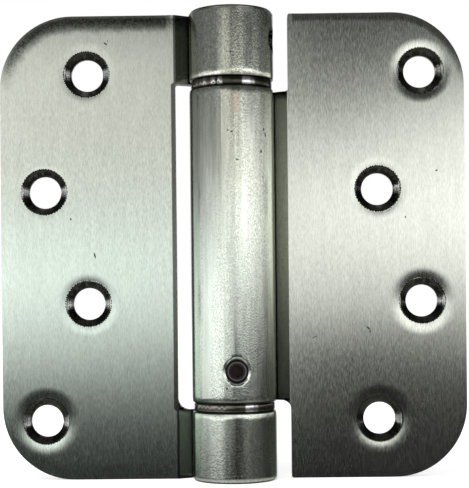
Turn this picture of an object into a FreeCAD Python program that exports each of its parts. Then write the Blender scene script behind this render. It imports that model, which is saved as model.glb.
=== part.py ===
import FreeCAD, Part
import math
import os

# Spring loaded door hinge, full mortise, with two leaves of formed sheet steel.
# It is modelled lying open and flat. The pin axis is Z and the origin is on it, at half height.
# The leaves lie in the XZ plane, the frame leaf toward -X and the door leaf toward +X.
# The countersunk faces look toward -Y. All sizes are in millimetres and all angles in degrees.

# Leaves
LEAF_HEIGHT = 101.6
OPEN_WIDTH = 101.6
SHEET = 2.5
LEAF_CORNER = 15.875
CLOSED_GAP = 1.4  # between the two leaves when the hinge is shut
STAMPED_ROUND = 0.5  # plain corners of the stamped outline

# Rolled barrel
BARREL_RADIUS = 9.2
BARREL_SLOPE = 30.0  # the sheet runs back to the barrel at this angle
BEND_RADIUS = 2.5  # inside of the bend between the leaf and its slope
SEAM_ANGLE = 12.0  # the rolled edge ends this far behind the leaf's own side
END_KNUCKLE = 15.0
CUTOUT_GAP = 3.2  # from the barrel to the edge of each leaf's cut-out
FRAME_CUTOUT_UPPER_ROUND = 0.6
FRAME_CUTOUT_LOWER_ROUND = 2.6
DOOR_CUTOUT_UPPER_ROUND = 0.7
DOOR_CUTOUT_LOWER_ROUND = 2.0
INNER_LIP_RADIAL = 0.6  # rounding of the barrel edges that face the washers
INNER_LIP_AXIAL = 1.1
OUTER_LIP_RADIAL = 0.4  # bevel of the barrel edges at the hinge's two ends
OUTER_LIP_AXIAL = 0.6

# Countersunk screw holes, four in each leaf, in two staggered columns
SCREW_HOLE_RADIUS = 3.5
COUNTERSINK_RADIUS = 5.0
COUNTERSINK_ANGLE = 82.0
FAR_COLUMN_INSET = 9.5  # from the leaf's outer edge
COLUMN_STEP = 9.525
END_ROW_INSET = 12.8  # from the leaf's upper and lower edge
MIDDLE_ROW_HEIGHT = 12.3  # from the leaf's middle

# Thrust washers between the knuckles
WASHER_THICKNESS = 1.9
WASHER_INSET = 0.4  # from the outside of the barrel
WASHER_BORE_CLEARANCE = 0.15
THRUST_CLEARANCE = 0.05  # between faces that turn on each other

# Journals and the sleeves that they turn in
SLEEVE_WALL = 1.69
JOURNAL_CLEARANCE = 0.06
UPPER_SLEEVE_LENGTH = 10.0
LOWER_SLEEVE_LENGTH = 11.5

# Tension adjuster
HEAD_CLEARANCE = 0.07
HEAD_RECESS = 1.2  # below the hinge's upper end
HEAD_CHAMFER = 0.5
KEY_FLATS = 6.0
KEY_DEPTH = 6.0
TENSION_HOLES = 6
TENSION_HOLE_RADIUS = 1.6
TENSION_HOLE_DEPTH = 2.5
TENSION_HOLE_TURN = -10.0  # about Z from the +X side, the viewer's side being negative
KNUCKLE_HOLE_DROP = 6.4  # from the hinge's upper end to the middle of the hole
KNUCKLE_HOLE_RADIUS = 2.6

# Torsion spring of square wire, wound left-handed so that opening the door tightens it
WIRE = 2.2
SPRING_BORE_CLEARANCE = 0.5
SPRING_TURN_GAP = 0.25  # least gap between one turn and the next
SPRING_TURN_FLATS = 12  # flat faces that stand for one round turn
SPRING_END_CLEARANCE = 0.1
TANG_REACH = 2.6  # past the axis
TANG_CLEARANCE = 0.1
NOSE_CLEARANCE = 0.25
NOSE_LENGTH = 5.0
SHOULDER_DROP = 0.5  # from the upper sleeve to the adjuster's shoulder

# Spring anchor, held in the door leaf's barrel by the set screw
ANCHOR_CLEARANCE = 0.05
ANCHOR_LENGTH = 12.5
JOURNAL_RECESS = 2.0  # above the hinge's lower end
JOURNAL_CHAMFER = 0.6

# Set screw
SET_SCREW_RADIUS = 2.5
SET_SCREW_LENGTH = 4.0
SET_SCREW_RECESS = 0.5
SET_SCREW_HEIGHT = 6.9  # above the lower end of the long barrel
SET_SCREW_TURN = 4.5  # from straight in front toward the door leaf
SET_SCREW_FLATS = 2.5
SET_SCREW_SOCKET_DEPTH = 1.8
SET_SCREW_POINT = 0.8
SET_HOLE_CHAMFER = 0.3
SET_SPOT_CLEARANCE = 0.05

# Worked out from the sizes above
MARGIN = 1.0  # cutting tools pass this far beyond what they cut
TOP = LEAF_HEIGHT / 2
HALF_WIDTH = OPEN_WIDTH / 2
FRONT_FACE = CLOSED_GAP / 2
BACK_FACE = FRONT_FACE + SHEET
BORE_RADIUS = BARREL_RADIUS - SHEET
SLOPE = math.radians(BARREL_SLOPE)
BEND_CORNER = (BARREL_RADIUS - BACK_FACE * math.cos(SLOPE)) / math.sin(SLOPE)
BEND_START = BEND_CORNER + BEND_RADIUS * math.tan(SLOPE / 2)
CUTOUT_EDGE = BARREL_RADIUS + CUTOUT_GAP
KNUCKLE_END = TOP - END_KNUCKLE
LONG_BARREL_END = KNUCKLE_END - WASHER_THICKNESS - THRUST_CLEARANCE
SLEEVE_BORE = BORE_RADIUS - SLEEVE_WALL
JOURNAL_RADIUS = SLEEVE_BORE - JOURNAL_CLEARANCE
WASHER_RADIUS = BARREL_RADIUS - WASHER_INSET
WASHER_BORE = JOURNAL_RADIUS + WASHER_BORE_CLEARANCE
HEAD_RADIUS = BORE_RADIUS - HEAD_CLEARANCE
HEAD_TOP = TOP - HEAD_RECESS
TENSION_HOLE_Z = TOP - KNUCKLE_HOLE_DROP
SPRING_RADIUS = BORE_RADIUS - SPRING_BORE_CLEARANCE - WIRE / 2
NOSE_RADIUS = SPRING_RADIUS - WIRE / 2 - NOSE_CLEARANCE
ADJUSTER_SHOULDER = LONG_BARREL_END - UPPER_SLEEVE_LENGTH - SHOULDER_DROP
ANCHOR_SHOULDER = -LONG_BARREL_END + ANCHOR_LENGTH
SET_SCREW_Z = -LONG_BARREL_END + SET_SCREW_HEIGHT
SET_SCREW_TIP = BARREL_RADIUS - SET_SCREW_RECESS - SET_SCREW_LENGTH
UP = FreeCAD.Vector(0, 0, 1)
ORIGIN = FreeCAD.Vector(0, 0, 0)
FULL_TURN = 360.0


def vector(x, y, z):
    return FreeCAD.Vector(x, y, z)


def rod(radius, low, high):
    """A round bar along the pin axis."""
    return Part.makeCylinder(radius, high - low, vector(0, 0, low), UP)


def tube(bore, radius, low, high):
    return rod(radius, low, high).cut(rod(bore, low - MARGIN, high + MARGIN))


def face_of(points):
    return Part.Face(Part.makePolygon(points + points[:1]))


def turned(profile):
    """A solid of revolution from (radius, height) corners."""
    corners = [vector(radius, 0, height) for radius, height in profile]
    return face_of(corners).revolve(ORIGIN, UP, FULL_TURN)


def hexagon_bar(flats, low, high):
    """A six-sided bar along the pin axis, as a key's socket is cut, with one corner toward +X."""
    reach = flats / 2 / math.cos(math.radians(30))
    corners = []
    for step in range(6):
        angle = math.radians(60 * step)
        corners.append(vector(reach * math.cos(angle), reach * math.sin(angle), low))
    return face_of(corners).extrude(vector(0, 0, high - low))


def outward(shape, azimuth, height):
    """Lay a shape made along Z onto a radial line that leaves the pin axis at an azimuth."""
    laid = shape.copy()
    laid.rotate(ORIGIN, vector(0, 1, 0), 90)
    laid.rotate(ORIGIN, UP, azimuth)
    laid.translate(vector(0, 0, height))
    return laid


# Leaves

def formed_section(side):
    """The leaf's section seen from below: flat leaf, bend, slope and rolled barrel."""
    def at(x, y):
        return vector(side * x, y, -TOP)

    def on_circle(radius, degrees):
        angle = math.radians(degrees)
        return at(radius * math.cos(angle), radius * math.sin(angle))

    def bend_point(radius, angle):
        return at(BEND_START - radius * math.sin(angle), BACK_FACE + BEND_RADIUS - radius * math.cos(angle))

    front_bend = BEND_RADIUS + SHEET
    roll_start = 90 - BARREL_SLOPE
    roll_end = FULL_TURN + SEAM_ANGLE
    roll_middle = (roll_start + roll_end) / 2
    front_edge = at(HALF_WIDTH + MARGIN, FRONT_FACE)
    back_edge = at(HALF_WIDTH + MARGIN, BACK_FACE)
    front_flat = at(BEND_START, FRONT_FACE)
    back_flat = at(BEND_START, BACK_FACE)
    front_slope = bend_point(front_bend, SLOPE)
    back_slope = bend_point(BEND_RADIUS, SLOPE)
    inner_start = on_circle(BORE_RADIUS, roll_start)
    outer_start = on_circle(BARREL_RADIUS, roll_start)
    inner_end = on_circle(BORE_RADIUS, roll_end)
    outer_end = on_circle(BARREL_RADIUS, roll_end)
    edges = [
        Part.makeLine(front_edge, front_flat),
        Part.Arc(front_flat, bend_point(front_bend, SLOPE / 2), front_slope).toShape(),
        Part.makeLine(front_slope, inner_start),
        Part.Arc(inner_start, on_circle(BORE_RADIUS, roll_middle), inner_end).toShape(),
        Part.makeLine(inner_end, outer_end),
        Part.Arc(outer_end, on_circle(BARREL_RADIUS, roll_middle), outer_start).toShape(),
        Part.makeLine(outer_start, back_slope),
        Part.Arc(back_slope, bend_point(BEND_RADIUS, SLOPE / 2), back_flat).toShape(),
        Part.makeLine(back_flat, back_edge),
        Part.makeLine(back_edge, front_edge),
    ]
    return Part.Face(Part.Wire(edges))


def stamped_outline(side, corners):
    """A prism along Y over the leaf's front outline, given as (x, z, corner radius) points."""
    count = len(corners)
    edges = []
    starts = []
    ends = []
    depth = BARREL_RADIUS + MARGIN
    for index, (x, z, radius) in enumerate(corners):
        here = vector(side * x, -depth, z)
        before_x, before_z, _ = corners[index - 1]
        after_x, after_z, _ = corners[(index + 1) % count]
        toward_before = (vector(side * before_x, -depth, before_z) - here).normalize()
        toward_after = (vector(side * after_x, -depth, after_z) - here).normalize()
        start = here + toward_before * radius
        end = here + toward_after * radius
        starts.append(start)
        ends.append(end)
        if radius > 0:
            inward = (toward_before + toward_after).normalize()
            middle = here + inward * (radius * (math.sqrt(2) - 1))
            edges.append(Part.Arc(start, middle, end).toShape())
    for index in range(count):
        edges.append(Part.makeLine(ends[index], starts[(index + 1) % count]))
    outline = Part.Face(Part.Wire(Part.sortEdges(edges)[0]))
    return outline.extrude(vector(0, 2 * depth, 0))


def frame_outline():
    inside = -(BARREL_RADIUS + MARGIN)
    return stamped_outline(-1, [
        (inside, -TOP, 0),
        (HALF_WIDTH, -TOP, LEAF_CORNER),
        (HALF_WIDTH, TOP, LEAF_CORNER),
        (inside, TOP, 0),
        (inside, KNUCKLE_END, 0),
        (CUTOUT_EDGE, KNUCKLE_END, FRAME_CUTOUT_UPPER_ROUND),
        (CUTOUT_EDGE, -KNUCKLE_END, FRAME_CUTOUT_LOWER_ROUND),
        (inside, -KNUCKLE_END, 0),
    ])


def door_outline():
    inside = -(BARREL_RADIUS + MARGIN)
    return stamped_outline(1, [
        (inside, -LONG_BARREL_END, 0),
        (CUTOUT_EDGE, -LONG_BARREL_END, DOOR_CUTOUT_LOWER_ROUND),
        (CUTOUT_EDGE, -TOP, STAMPED_ROUND),
        (HALF_WIDTH, -TOP, LEAF_CORNER),
        (HALF_WIDTH, TOP, LEAF_CORNER),
        (CUTOUT_EDGE, TOP, STAMPED_ROUND),
        (CUTOUT_EDGE, LONG_BARREL_END, DOOR_CUTOUT_UPPER_ROUND),
        (inside, LONG_BARREL_END, 0),
    ])


def lip_section(end, outside, radial, axial, rounded):
    """What a bevel or a rounding takes off a barrel edge, drawn in the XZ plane at Y = 0."""
    share = 1 - math.sqrt(0.5)
    clear = MARGIN / 4
    corners = [
        (BARREL_RADIUS + clear, end + outside * clear),
        (BARREL_RADIUS - radial, end + outside * clear),
        (BARREL_RADIUS - radial, end),
    ]
    if rounded:
        corners.append((BARREL_RADIUS - radial * share, end - outside * axial * share))
    corners.append((BARREL_RADIUS, end - outside * axial))
    corners.append((BARREL_RADIUS + clear, end - outside * axial))
    points = [vector(x, 0, z) for x, z in corners]
    return Part.makePolygon(points + points[:1])


def lip_cut(side, end, outside, radial, axial, rounded):
    """Eases one outer edge of a rolled barrel and runs out along the slope toward the leaf."""
    roll_start = 90 - BARREL_SLOPE
    roll = FULL_TURN + SEAM_ANGLE + 1 - roll_start
    run_out = BEND_START * math.cos(SLOPE) - (BACK_FACE + BEND_RADIUS) * math.sin(SLOPE)
    section = lip_section(end, outside, radial, axial, rounded)
    faded = lip_section(end, outside, radial / 20, axial / 20, rounded)
    faded.translate(vector(0, -run_out, 0))
    slope_part = Part.makeLoft([section, faded], True, True)
    rolled_part = Part.Face(section).revolve(ORIGIN, UP, roll)
    tool = rolled_part.fuse(slope_part)
    tool.rotate(ORIGIN, UP, roll_start)
    if side < 0:
        tool = tool.mirror(ORIGIN, vector(1, 0, 0))
    return tool


def countersunk_hole(x, z):
    """A through hole with its countersink on the front face."""
    into_sheet = vector(0, 1, 0)
    spread = math.tan(math.radians(COUNTERSINK_ANGLE / 2))
    cone_depth = (COUNTERSINK_RADIUS - SCREW_HOLE_RADIUS) / spread
    mouth = COUNTERSINK_RADIUS + MARGIN * spread
    cone = Part.makeCone(mouth, SCREW_HOLE_RADIUS, cone_depth + MARGIN, vector(x, FRONT_FACE - MARGIN, z), into_sheet)
    hole = Part.makeCylinder(SCREW_HOLE_RADIUS, SHEET + 2 * MARGIN, vector(x, FRONT_FACE - MARGIN, z), into_sheet)
    return hole.fuse(cone)


def screw_holes(side, highest_inset):
    """Four holes from the top down, the inset from the outer edge changing from row to row."""
    far = HALF_WIDTH - FAR_COLUMN_INSET
    near = far - COLUMN_STEP
    columns = [far, near] if highest_inset == "far" else [near, far]
    end_row = TOP - END_ROW_INSET
    rows = [end_row, MIDDLE_ROW_HEIGHT, -MIDDLE_ROW_HEIGHT, -end_row]
    return [countersunk_hole(side * columns[index % 2], z) for index, z in enumerate(rows)]


def knuckle_hole():
    """The hole in the upper knuckle through which the tension pin enters the adjuster."""
    hole = Part.makeCylinder(KNUCKLE_HOLE_RADIUS, SHEET + 2 * MARGIN, vector(0, 0, BORE_RADIUS - MARGIN), UP)
    return outward(hole, TENSION_HOLE_TURN, TENSION_HOLE_Z)


def set_screw_hole():
    """Tapped hole for the set screw, at the size of its thread, with a chamfered mouth."""
    hole = Part.makeCylinder(SET_SCREW_RADIUS, SHEET + 2 * MARGIN, vector(0, 0, BORE_RADIUS - MARGIN), UP)
    wide = SET_SCREW_RADIUS + SET_HOLE_CHAMFER + MARGIN
    mouth_depth = SET_HOLE_CHAMFER + MARGIN
    mouth = Part.makeCone(SET_SCREW_RADIUS, wide, mouth_depth, vector(0, 0, BARREL_RADIUS - SET_HOLE_CHAMFER), UP)
    return outward(hole.fuse(mouth), SET_SCREW_TURN - 90, SET_SCREW_Z)


def frame_leaf():
    leaf = formed_section(-1).extrude(vector(0, 0, LEAF_HEIGHT))
    leaf = leaf.common(frame_outline())
    cuts = screw_holes(-1, "near")
    cuts.append(knuckle_hole())
    for outside in (1, -1):
        cuts.append(lip_cut(-1, outside * TOP, outside, OUTER_LIP_RADIAL, OUTER_LIP_AXIAL, False))
        cuts.append(lip_cut(-1, outside * KNUCKLE_END, -outside, INNER_LIP_RADIAL, INNER_LIP_AXIAL, True))
    for cut in cuts:
        leaf = leaf.cut(cut)
    return leaf


def door_leaf():
    leaf = formed_section(1).extrude(vector(0, 0, LEAF_HEIGHT))
    leaf = leaf.common(door_outline())
    cuts = screw_holes(1, "far")
    cuts.append(set_screw_hole())
    for outside in (1, -1):
        cuts.append(lip_cut(1, outside * LONG_BARREL_END, outside, INNER_LIP_RADIAL, INNER_LIP_AXIAL, True))
    for cut in cuts:
        leaf = leaf.cut(cut)
    return leaf


# Bearings

def thrust_washer(low):
    return tube(WASHER_BORE, WASHER_RADIUS, low, low + WASHER_THICKNESS)


def bearing_sleeve(low, length):
    return tube(SLEEVE_BORE, BORE_RADIUS, low, low + length)


# Tension adjuster and spring anchor

def tang_slot(low, high):
    """The slot across a nose that takes the spring's straight end."""
    width = WIRE + 2 * TANG_CLEARANCE
    length = 2 * (NOSE_RADIUS + MARGIN)
    return Part.makeBox(length, width, high - low, vector(-length / 2, -width / 2, low))


def tension_adjuster():
    """One turned piece: socketed head in the upper knuckle, journal, and slotted nose in the spring."""
    head_low = KNUCKLE_END + THRUST_CLEARANCE
    tip = ADJUSTER_SHOULDER - NOSE_LENGTH
    body = turned([
        (0, tip),
        (NOSE_RADIUS, tip),
        (NOSE_RADIUS, ADJUSTER_SHOULDER),
        (JOURNAL_RADIUS, ADJUSTER_SHOULDER),
        (JOURNAL_RADIUS, head_low),
        (HEAD_RADIUS, head_low),
        (HEAD_RADIUS, HEAD_TOP - HEAD_CHAMFER),
        (HEAD_RADIUS - HEAD_CHAMFER, HEAD_TOP),
        (0, HEAD_TOP),
    ])
    body = body.cut(hexagon_bar(KEY_FLATS, HEAD_TOP - KEY_DEPTH, HEAD_TOP + MARGIN))
    body = body.cut(tang_slot(tip - MARGIN, ADJUSTER_SHOULDER))
    hole_start = HEAD_RADIUS - TENSION_HOLE_DEPTH
    hole = Part.makeCylinder(TENSION_HOLE_RADIUS, TENSION_HOLE_DEPTH + MARGIN, vector(0, 0, hole_start), UP)
    for index in range(TENSION_HOLES):
        azimuth = TENSION_HOLE_TURN + index * FULL_TURN / TENSION_HOLES
        body = body.cut(outward(hole, azimuth, TENSION_HOLE_Z))
    return body


def set_screw_spot():
    """The seat that the set screw's point enters in the anchor."""
    radius = SET_SCREW_RADIUS + SET_SPOT_CLEARANCE
    depth = BORE_RADIUS + MARGIN - SET_SCREW_TIP
    spot = Part.makeCylinder(radius, depth, vector(0, 0, SET_SCREW_TIP), UP)
    return outward(spot, SET_SCREW_TURN - 90, SET_SCREW_Z)


def spring_anchor():
    """One turned piece: slotted nose in the spring, body in the long barrel, journal in the lower knuckle."""
    anchor_radius = BORE_RADIUS - ANCHOR_CLEARANCE
    journal_low = -TOP + JOURNAL_RECESS
    tip = ANCHOR_SHOULDER + NOSE_LENGTH
    body = turned([
        (0, journal_low),
        (JOURNAL_RADIUS - JOURNAL_CHAMFER, journal_low),
        (JOURNAL_RADIUS, journal_low + JOURNAL_CHAMFER),
        (JOURNAL_RADIUS, -LONG_BARREL_END),
        (anchor_radius, -LONG_BARREL_END),
        (anchor_radius, ANCHOR_SHOULDER),
        (NOSE_RADIUS, ANCHOR_SHOULDER),
        (NOSE_RADIUS, tip),
        (0, tip),
    ])
    body = body.cut(tang_slot(ANCHOR_SHOULDER, tip + MARGIN))
    return body.cut(set_screw_spot())


def set_screw():
    """Set screw with a hexagon socket and a chamfered point, at the size of its thread."""
    length = SET_SCREW_LENGTH
    body = turned([
        (0, 0),
        (SET_SCREW_RADIUS - SET_SCREW_POINT, 0),
        (SET_SCREW_RADIUS, SET_SCREW_POINT),
        (SET_SCREW_RADIUS, length - SET_HOLE_CHAMFER),
        (SET_SCREW_RADIUS - SET_HOLE_CHAMFER, length),
        (0, length),
    ])
    body = body.cut(hexagon_bar(SET_SCREW_FLATS, length - SET_SCREW_SOCKET_DEPTH, length + MARGIN))
    body.translate(vector(0, 0, SET_SCREW_TIP))
    return outward(body, SET_SCREW_TURN - 90, SET_SCREW_Z)


# Torsion spring

def wound_coil(low, rise, turns):
    """Square wire along a left-handed helix, its round turns drawn with flat faces."""
    half = WIRE / 2
    corners = [(-half, 0), (half, 0), (half, WIRE), (-half, WIRE)]
    steps = turns * SPRING_TURN_FLATS
    sections = []
    for step in range(steps + 1):
        angle = math.radians(-FULL_TURN * step / SPRING_TURN_FLATS)
        outside = vector(math.cos(angle), math.sin(angle), 0)
        base = low + rise * step / steps
        sections.append([outside * (SPRING_RADIUS + x) + vector(0, 0, base + z) for x, z in corners])
    faces = [face_of(sections[0]), face_of(sections[-1])]
    for here, there in zip(sections, sections[1:]):
        for corner in range(4):
            after = (corner + 1) % 4
            faces.append(face_of([here[corner], here[after], there[after]]))
            faces.append(face_of([here[corner], there[after], there[corner]]))
    skin = Part.Shell(faces)
    skin.sewShape()
    return Part.Solid(skin).removeSplitter()


def torsion_spring():
    """Square wire wound between the two shoulders, with a straight end across each nose."""
    low = ANCHOR_SHOULDER + SPRING_END_CLEARANCE
    high = ADJUSTER_SHOULDER - SPRING_END_CLEARANCE
    rise = high - low - WIRE
    turns = math.floor(rise / (WIRE + SPRING_TURN_GAP))
    coil = wound_coil(low, rise, turns)
    length = TANG_REACH + SPRING_RADIUS
    tangs = [Part.makeBox(length, WIRE, WIRE, vector(-TANG_REACH, -WIRE / 2, z)) for z in (low, high - WIRE)]
    return coil.multiFuse(tangs).removeSplitter()


pieces = {
    "frame_leaf": frame_leaf(),
    "door_leaf": door_leaf(),
    "upper_thrust_washer": thrust_washer(KNUCKLE_END - WASHER_THICKNESS),
    "lower_thrust_washer": thrust_washer(-KNUCKLE_END),
    "upper_bearing_sleeve": bearing_sleeve(LONG_BARREL_END - UPPER_SLEEVE_LENGTH, UPPER_SLEEVE_LENGTH),
    "lower_bearing_sleeve": bearing_sleeve(-KNUCKLE_END - LOWER_SLEEVE_LENGTH, LOWER_SLEEVE_LENGTH),
    "tension_adjuster": tension_adjuster(),
    "torsion_spring": torsion_spring(),
    "spring_anchor": spring_anchor(),
    "set_screw": set_screw(),
}

os.makedirs("parts", exist_ok=True)
for name, shape in pieces.items():
    shape.exportStep("parts/" + name + ".step")
    print(name, "valid", shape.isValid(), "solids", len(shape.Solids), "volume", round(shape.Volume, 1))
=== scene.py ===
import math

import bmesh
import bpy
from mathutils import Matrix, Vector, noise as noise_field
from mathutils.geometry import delaunay_2d_cdt

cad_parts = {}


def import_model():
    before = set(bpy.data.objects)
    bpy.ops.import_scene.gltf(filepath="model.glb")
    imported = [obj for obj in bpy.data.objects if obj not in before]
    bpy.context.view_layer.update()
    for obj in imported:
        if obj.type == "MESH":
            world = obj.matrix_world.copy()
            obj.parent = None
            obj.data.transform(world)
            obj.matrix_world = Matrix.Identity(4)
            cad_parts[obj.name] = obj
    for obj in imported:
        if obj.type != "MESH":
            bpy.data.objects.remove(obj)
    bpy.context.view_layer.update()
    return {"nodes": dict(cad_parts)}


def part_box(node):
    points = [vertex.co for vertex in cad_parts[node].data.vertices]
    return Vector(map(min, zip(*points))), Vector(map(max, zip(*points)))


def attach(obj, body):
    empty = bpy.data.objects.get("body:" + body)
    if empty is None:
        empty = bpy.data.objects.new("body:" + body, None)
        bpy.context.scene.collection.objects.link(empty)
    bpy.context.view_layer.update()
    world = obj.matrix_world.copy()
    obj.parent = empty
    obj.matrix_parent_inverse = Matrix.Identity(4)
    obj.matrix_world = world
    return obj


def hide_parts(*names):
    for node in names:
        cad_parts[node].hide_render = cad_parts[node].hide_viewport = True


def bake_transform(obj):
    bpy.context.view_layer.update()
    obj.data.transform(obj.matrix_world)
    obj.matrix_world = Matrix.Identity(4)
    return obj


# Spring loaded door hinge, lying open and flat.
# The pin axis is Z and the countersunk faces look toward -Y. All lengths are in metres.

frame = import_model()
nodes = frame["nodes"]
MM = 0.001

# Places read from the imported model
leaf_low, leaf_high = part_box("frame_leaf")
HALF_HEIGHT = leaf_high.z
HALF_WIDTH = -leaf_low.x
BARREL_RADIUS = leaf_high.x
ring_low, ring_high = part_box("upper_thrust_washer")
KNUCKLE_END = ring_high.z
LONG_BARREL_END = ring_low.z
screw_low, screw_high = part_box("set_screw")
SET_SCREW_PLACE = (screw_low + screw_high) / 2

# The leaves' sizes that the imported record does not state
FRONT_FACE = 0.7 * MM
BEND_START = 13.53 * MM
BEND_RADIUS = 5.0 * MM
BEND_ANGLE = math.radians(30)
BEND_CORNER = BEND_START - BEND_RADIUS * math.tan(BEND_ANGLE / 2)
CORNER_RADIUS = 15.875 * MM
HOLE_RADIUS = 5.0 * MM
FAR_COLUMN = HALF_WIDTH - 9.5 * MM
NEAR_COLUMN = FAR_COLUMN - 9.525 * MM
END_ROW = HALF_HEIGHT - 12.8 * MM
MIDDLE_ROW = 12.3 * MM
ROWS = (END_ROW, MIDDLE_ROW, -MIDDLE_ROW, -END_ROW)
FRAME_HOLES = [(-x, z) for x, z in zip((NEAR_COLUMN, FAR_COLUMN) * 2, ROWS)]
DOOR_HOLES = [(x, z) for x, z in zip((FAR_COLUMN, NEAR_COLUMN) * 2, ROWS)]


# Node helpers

def value_or_link(tree, socket, value):
    if isinstance(value, bpy.types.NodeSocket):
        tree.links.new(value, socket)
    elif value is not None:
        socket.default_value = value


def math_node(tree, operation, first, second=None, third=None):
    node = tree.nodes.new("ShaderNodeMath")
    node.operation = operation
    for socket, value in zip(node.inputs, (first, second, third)):
        value_or_link(tree, socket, value)
    return node.outputs[0]


def vector_node(tree, operation, first, second=None):
    node = tree.nodes.new("ShaderNodeVectorMath")
    node.operation = operation
    for socket, value in zip(node.inputs, (first, second)):
        value_or_link(tree, socket, value)
    return node.outputs["Value" if operation in ("LENGTH", "DISTANCE", "DOT_PRODUCT") else "Vector"]


def map_range(tree, value, low, high, to_low=0.0, to_high=1.0, smooth=True):
    node = tree.nodes.new("ShaderNodeMapRange")
    node.interpolation_type = "SMOOTHSTEP" if smooth else "LINEAR"
    value_or_link(tree, node.inputs["Value"], value)
    node.inputs["From Min"].default_value = low
    node.inputs["From Max"].default_value = high
    node.inputs["To Min"].default_value = to_low
    node.inputs["To Max"].default_value = to_high
    return node.outputs["Result"]


def noise(tree, coordinates, scale, detail=2.0, roughness=0.5):
    node = tree.nodes.new("ShaderNodeTexNoise")
    value_or_link(tree, node.inputs["Vector"], coordinates)
    node.inputs["Scale"].default_value = scale
    node.inputs["Detail"].default_value = detail
    node.inputs["Roughness"].default_value = roughness
    return node.outputs["Fac"]


def object_coordinates(tree):
    return tree.nodes.new("ShaderNodeTexCoord").outputs["Object"]


def stretched(tree, coordinates, scale):
    return vector_node(tree, "MULTIPLY", coordinates, scale)


def mix_colour(tree, factor, first, second, blend="MIX"):
    node = tree.nodes.new("ShaderNodeMix")
    node.data_type = "RGBA"
    node.blend_type = blend
    value_or_link(tree, node.inputs[0], factor)
    value_or_link(tree, node.inputs[6], first)
    value_or_link(tree, node.inputs[7], second)
    return node.outputs[2]


def separated(tree, vector):
    node = tree.nodes.new("ShaderNodeSeparateXYZ")
    tree.links.new(vector, node.inputs["Vector"])
    return node.outputs


def window(tree, value, low, high, soft):
    """One between low and high, fading to zero over the soft width outside them."""
    rising = map_range(tree, value, low - soft, low)
    falling = map_range(tree, value, high, high + soft, 1.0, 0.0)
    return math_node(tree, "MULTIPLY", rising, falling)


def darkened(tree, colour, mask, share):
    """The colour times the share where the mask is one."""
    return mix_colour(tree, mask, colour, (share, share, share * 0.96, 1), "MULTIPLY")


def blend_values(tree, factor, first, second):
    node = tree.nodes.new("ShaderNodeMix")
    node.data_type = "FLOAT"
    value_or_link(tree, node.inputs[0], factor)
    value_or_link(tree, node.inputs[2], first)
    value_or_link(tree, node.inputs[3], second)
    return node.outputs[0]


def grey(level, alpha=1.0):
    return (level, level, level, alpha)


def new_material(name):
    material = bpy.data.materials.new(name)
    material.use_nodes = True
    shader = material.node_tree.nodes["Principled BSDF"]
    return material, material.node_tree, shader


def new_group(name, inputs, outputs):
    """A shader node group with named float, vector or colour sockets."""
    group = bpy.data.node_groups.new(name, "ShaderNodeTree")
    for title, kind, default in inputs:
        socket = group.interface.new_socket(title, in_out="INPUT", socket_type=kind)
        if default is not None:
            socket.default_value = default
    for title, kind in outputs:
        group.interface.new_socket(title, in_out="OUTPUT", socket_type=kind)
    entry = group.nodes.new("NodeGroupInput")
    result = group.nodes.new("NodeGroupOutput")
    return group, entry.outputs, result.inputs


def place_group(tree, group, **values):
    node = tree.nodes.new("ShaderNodeGroup")
    node.node_tree = group
    for title, value in values.items():
        value_or_link(tree, node.inputs[title.replace("_", " ")], value)
    return node.outputs


# Effects that several finishes share

def brushed_grain_group():
    """Fine streaks along the pin axis, with broader bands under them."""
    group, given, result = new_group(
        "brushed_grain",
        [("Coordinates", "NodeSocketVector", None)],
        [("Fine", "NodeSocketFloat"), ("Broad", "NodeSocketFloat")],
    )
    fine = noise(group, stretched(group, given[0], (4600, 4600, 900)), 1.0, 3.0, 0.6)
    broad = noise(group, stretched(group, given[0], (1000, 1000, 130)), 1.0, 2.0, 0.5)
    group.links.new(fine, result["Fine"])
    group.links.new(broad, result["Broad"])
    return group


def mark_group():
    """A small dent or scratch: an oval on the surface that fades to its edge."""
    group, given, result = new_group(
        "small_mark",
        [("Coordinates", "NodeSocketVector", None), ("Place", "NodeSocketVector", None),
         ("Direction", "NodeSocketVector", None), ("Half Length", "NodeSocketFloat", 0.001),
         ("Half Width", "NodeSocketFloat", 0.001)],
        [("Depth", "NodeSocketFloat")],
    )
    offset = vector_node(group, "SUBTRACT", given["Coordinates"], given["Place"])
    along = vector_node(group, "DOT_PRODUCT", offset, given["Direction"])
    reach = vector_node(group, "LENGTH", offset)
    square = math_node(group, "MULTIPLY", along, along)
    across = math_node(group, "SUBTRACT", math_node(group, "MULTIPLY", reach, reach), square)
    lengthwise = math_node(group, "DIVIDE", along, given["Half Length"])
    lengthwise = math_node(group, "MULTIPLY", lengthwise, lengthwise)
    crosswise = math_node(group, "DIVIDE", across,
                          math_node(group, "MULTIPLY", given["Half Width"], given["Half Width"]))
    oval = math_node(group, "ADD", lengthwise, crosswise)
    group.links.new(map_range(group, oval, 0.3, 1.0, 1.0, 0.0), result["Depth"])
    return group


def steel_colour_group():
    """The sheet's own colour, a little greener on the frame leaf and warmer on the door leaf."""
    group, given, result = new_group(
        "sheet_steel_colour",
        [("Coordinates", "NodeSocketVector", None), ("Streaks", "NodeSocketFloat", 1.0)],
        [("Color", "NodeSocketColor")],
    )
    x, y, z = separated(group, given["Coordinates"])
    tint = map_range(group, x, -25 * MM, 25 * MM)
    frame_side = mix_colour(group, map_range(group, z, -5 * MM, 25 * MM), (0.57, 0.65, 0.58, 1),
                            (0.62, 0.65, 0.57, 1))
    base = mix_colour(group, tint, frame_side, (0.64, 0.66, 0.59, 1))
    combine = group.nodes.new("ShaderNodeCombineColor")
    for socket in combine.inputs:
        group.links.new(given["Streaks"], socket)
    group.links.new(mix_colour(group, 1.0, base, combine.outputs[0], "MULTIPLY"), result["Color"])
    return group


GRAIN = brushed_grain_group()
MARK = mark_group()
STEEL_COLOUR = steel_colour_group()


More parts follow.
